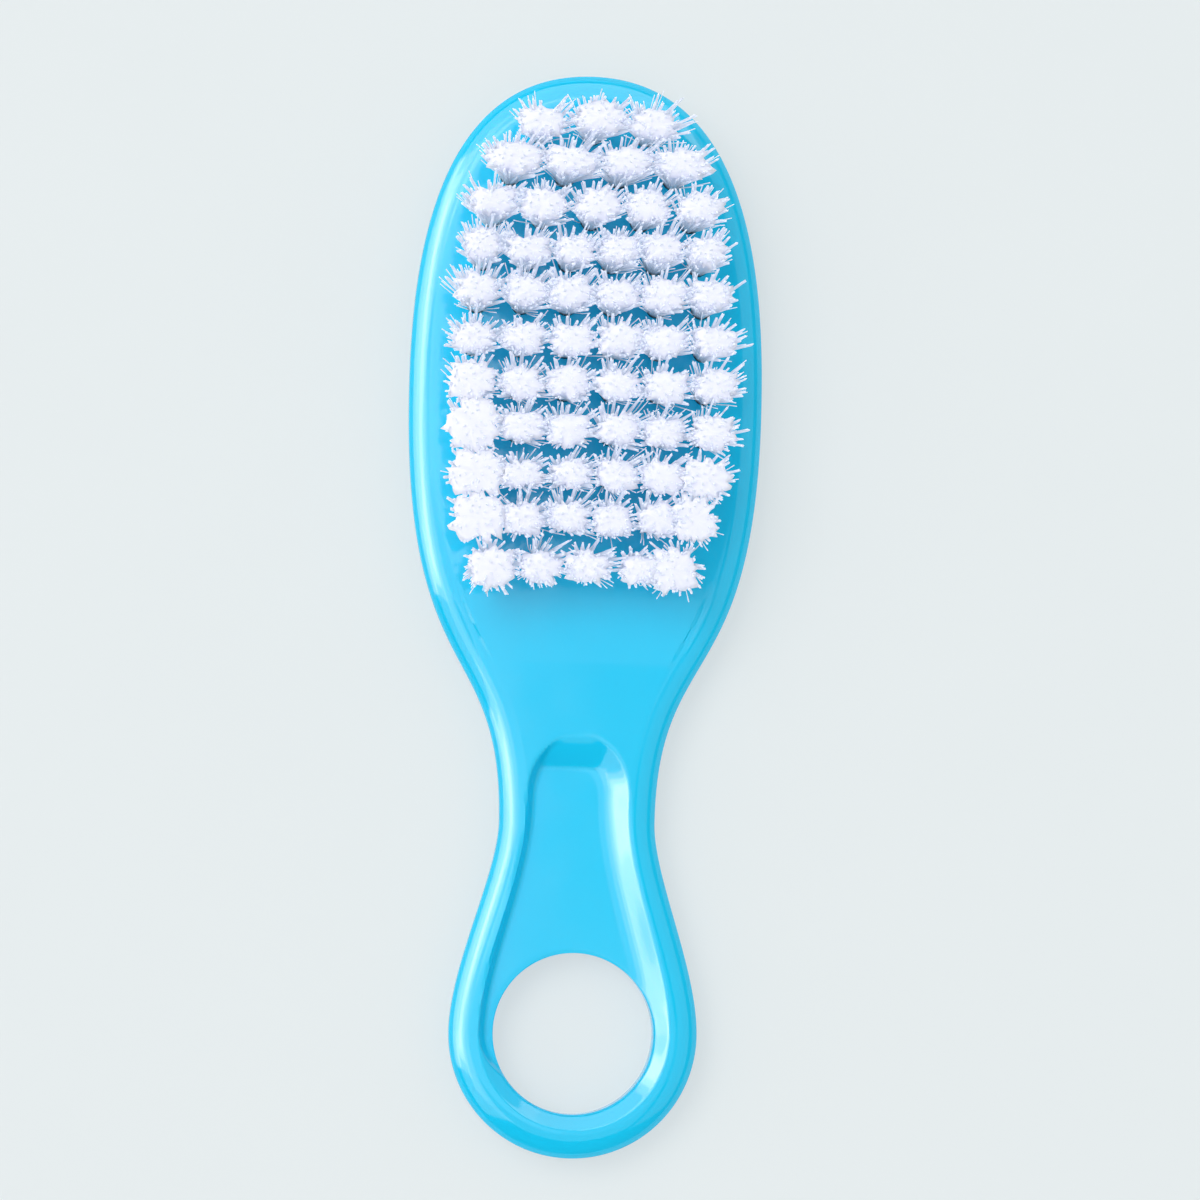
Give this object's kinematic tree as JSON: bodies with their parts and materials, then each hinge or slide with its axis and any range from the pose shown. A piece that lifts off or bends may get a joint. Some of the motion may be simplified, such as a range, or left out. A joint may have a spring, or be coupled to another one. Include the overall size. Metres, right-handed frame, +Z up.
{
  "type": "baby grooming brush",
  "caption": "Baby hair brush with a paddle head, rows of soft white bristle tufts, a thumb recess in the neck and a round finger ring at the handle's end.",
  "frame": {"origin": "on the surface it lies on, under the middle of its length and width", "axes": "+Y along the length towards the head's tip, +Z up from the back towards the bristle tips, +X across"},
  "size_m": [0.0492, 0.15, 0.02],
  "materials": {
    "blue_plastic": "high gloss moulded",
    "white_bristle": "fine soft filament"
  },
  "bodies": {
    "root": {"brush_body": "blue_plastic", "tuft_01_1": "white_bristle", "tuft_01_2": "white_bristle", "tuft_01_3": "white_bristle", "tuft_02_1": "white_bristle", "tuft_02_2": "white_bristle", "tuft_02_3": "white_bristle", "tuft_02_4": "white_bristle", "tuft_03_1": "white_bristle", "tuft_03_2": "white_bristle", "tuft_03_3": "white_bristle", "tuft_03_4": "white_bristle", "tuft_03_5": "white_bristle", "tuft_04_1": "white_bristle", "tuft_04_2": "white_bristle", "tuft_04_3": "white_bristle", "tuft_04_4": "white_bristle", "tuft_04_5": "white_bristle", "tuft_04_6": "white_bristle", "tuft_05_1": "white_bristle", "tuft_05_2": "white_bristle", "tuft_05_3": "white_bristle", "tuft_05_4": "white_bristle", "tuft_05_5": "white_bristle", "tuft_05_6": "white_bristle", "tuft_06_1": "white_bristle", "tuft_06_2": "white_bristle", "tuft_06_3": "white_bristle", "tuft_06_4": "white_bristle", "tuft_06_5": "white_bristle", "tuft_06_6": "white_bristle", "tuft_07_1": "white_bristle", "tuft_07_2": "white_bristle", "tuft_07_3": "white_bristle", "tuft_07_4": "white_bristle", "tuft_07_5": "white_bristle", "tuft_07_6": "white_bristle", "tuft_08_1": "white_bristle", "tuft_08_2": "white_bristle", "tuft_08_3": "white_bristle", "tuft_08_4": "white_bristle", "tuft_08_5": "white_bristle", "tuft_08_6": "white_bristle", "tuft_09_1": "white_bristle", "tuft_09_2": "white_bristle", "tuft_09_3": "white_bristle", "tuft_09_4": "white_bristle", "tuft_09_5": "white_bristle", "tuft_09_6": "white_bristle", "tuft_10_1": "white_bristle", "tuft_10_2": "white_bristle", "tuft_10_3": "white_bristle", "tuft_10_4": "white_bristle", "tuft_10_5": "white_bristle", "tuft_10_6": "white_bristle", "tuft_11_1": "white_bristle", "tuft_11_2": "white_bristle", "tuft_11_3": "white_bristle", "tuft_11_4": "white_bristle", "tuft_11_5": "white_bristle"}
  },
  "joints": []
}
